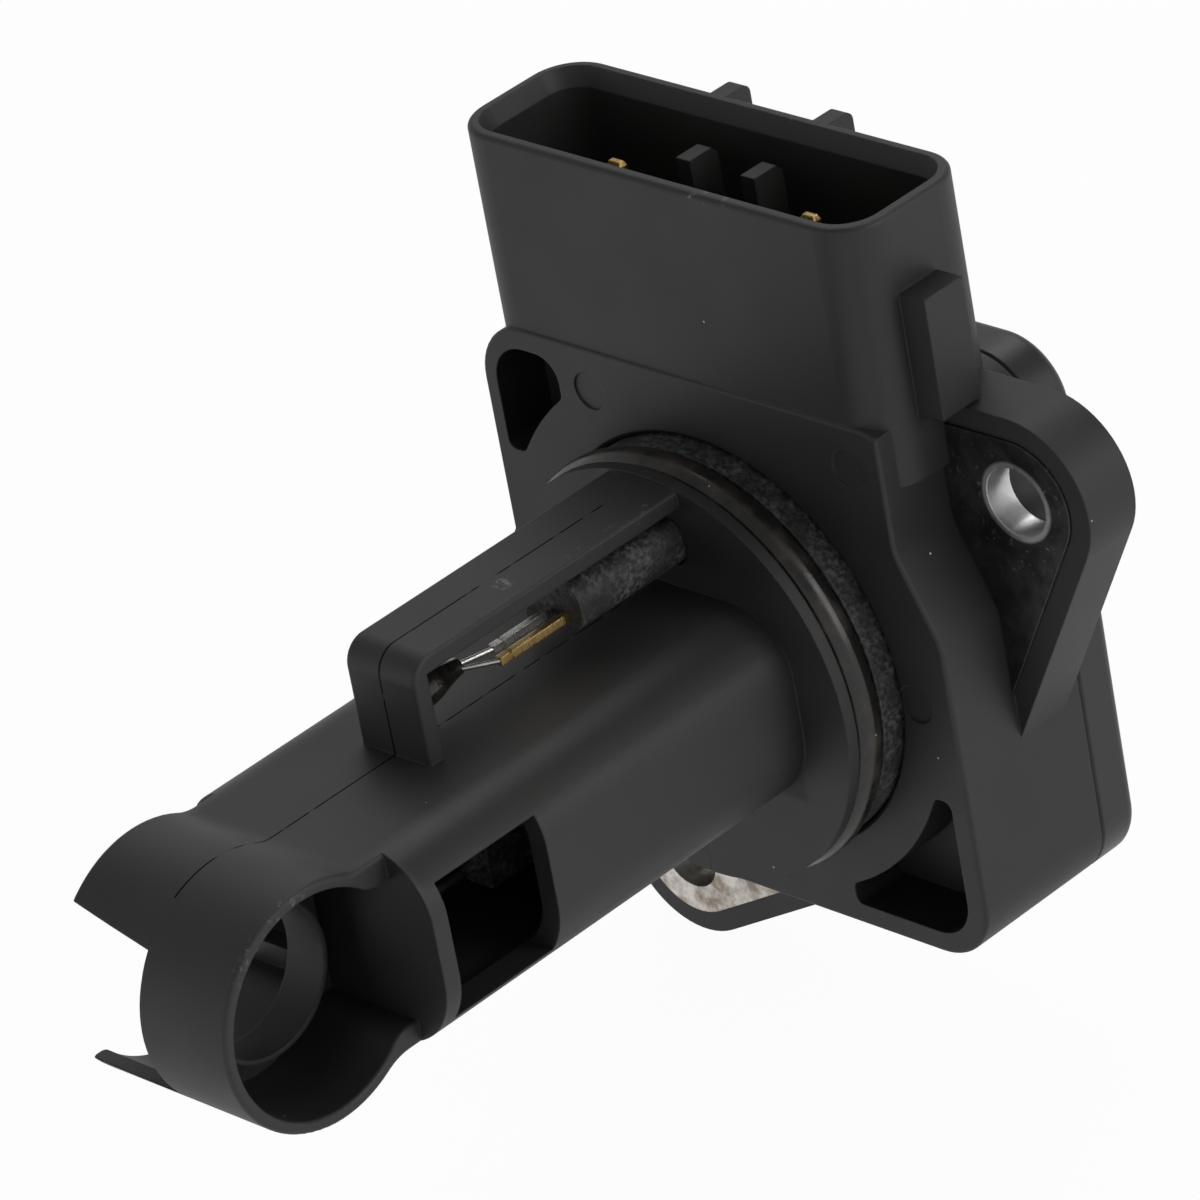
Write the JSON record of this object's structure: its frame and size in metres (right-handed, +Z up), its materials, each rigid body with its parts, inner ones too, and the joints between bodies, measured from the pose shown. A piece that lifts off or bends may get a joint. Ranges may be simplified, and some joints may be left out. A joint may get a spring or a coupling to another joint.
{
  "type": "mass airflow sensor",
  "caption": "Plug-in airflow sensor: black flange with screw ears and a plug socket, a sealed boss and a flat probe with a short tube across its tip.",
  "frame": {"origin": "on the probe's axis, in the plane of the flange's front face", "axes": "-Y along the probe into the duct, +Z up to the plug socket's mouth, X across the flange along the air flow"},
  "size_m": [0.0448, 0.0632, 0.0584],
  "materials": {
    "housing_plastic": "fine matte moulding",
    "cover_plastic": "smooth matte moulding",
    "probe_plastic": "smooth matte moulding",
    "core_plastic": "rough, speckled moulding",
    "seal_rubber": "oiled, slightly glossy",
    "plate_metal": "dull, scratched and stained",
    "gold_plate": "gold-coloured plating",
    "tin_plate": "tinned",
    "bead_glaze": "glossy black glaze",
    "element_glass": "thin glass coat",
    "board_ceramic": "white ceramic board",
    "chip_plastic": "chip package",
    "capacitor_ceramic": "plain",
    "wire_aluminium": "drawn wire",
    "sealant": "cured adhesive"
  },
  "bodies": {
    "root": {"housing": "housing_plastic", "rear_cover": "cover_plastic", "cover_sealant": "sealant", "mounting_plate": "plate_metal", "sensor_core": "core_plastic", "probe_half_inlet": "probe_plastic", "probe_half_outlet": "probe_plastic", "o_ring": "seal_rubber", "connector_blade_1": "gold_plate", "connector_blade_2": "gold_plate", "connector_blade_3": "gold_plate", "connector_blade_4": "gold_plate", "bead_terminal_near": "gold_plate", "bead_terminal_far": "tin_plate", "bead_lead_near": "tin_plate", "bead_lead_far": "tin_plate", "temperature_bead": "bead_glaze", "sense_pin_upper_outer": "tin_plate", "sense_pin_upper_inner": "tin_plate", "sense_pin_lower_inner": "tin_plate", "sense_pin_lower_outer": "tin_plate", "hot_element": "element_glass", "reference_element": "element_glass", "circuit_board": "board_ceramic", "control_chip": "chip_plastic", "driver_chip": "chip_plastic", "chip_capacitor_1": "capacitor_ceramic", "chip_capacitor_2": "capacitor_ceramic", "chip_capacitor_3": "capacitor_ceramic", "chip_capacitor_4": "capacitor_ceramic", "bond_wire_1": "wire_aluminium", "bond_wire_2": "wire_aluminium", "bond_wire_3": "wire_aluminium", "bond_wire_4": "wire_aluminium"}
  },
  "joints": []
}
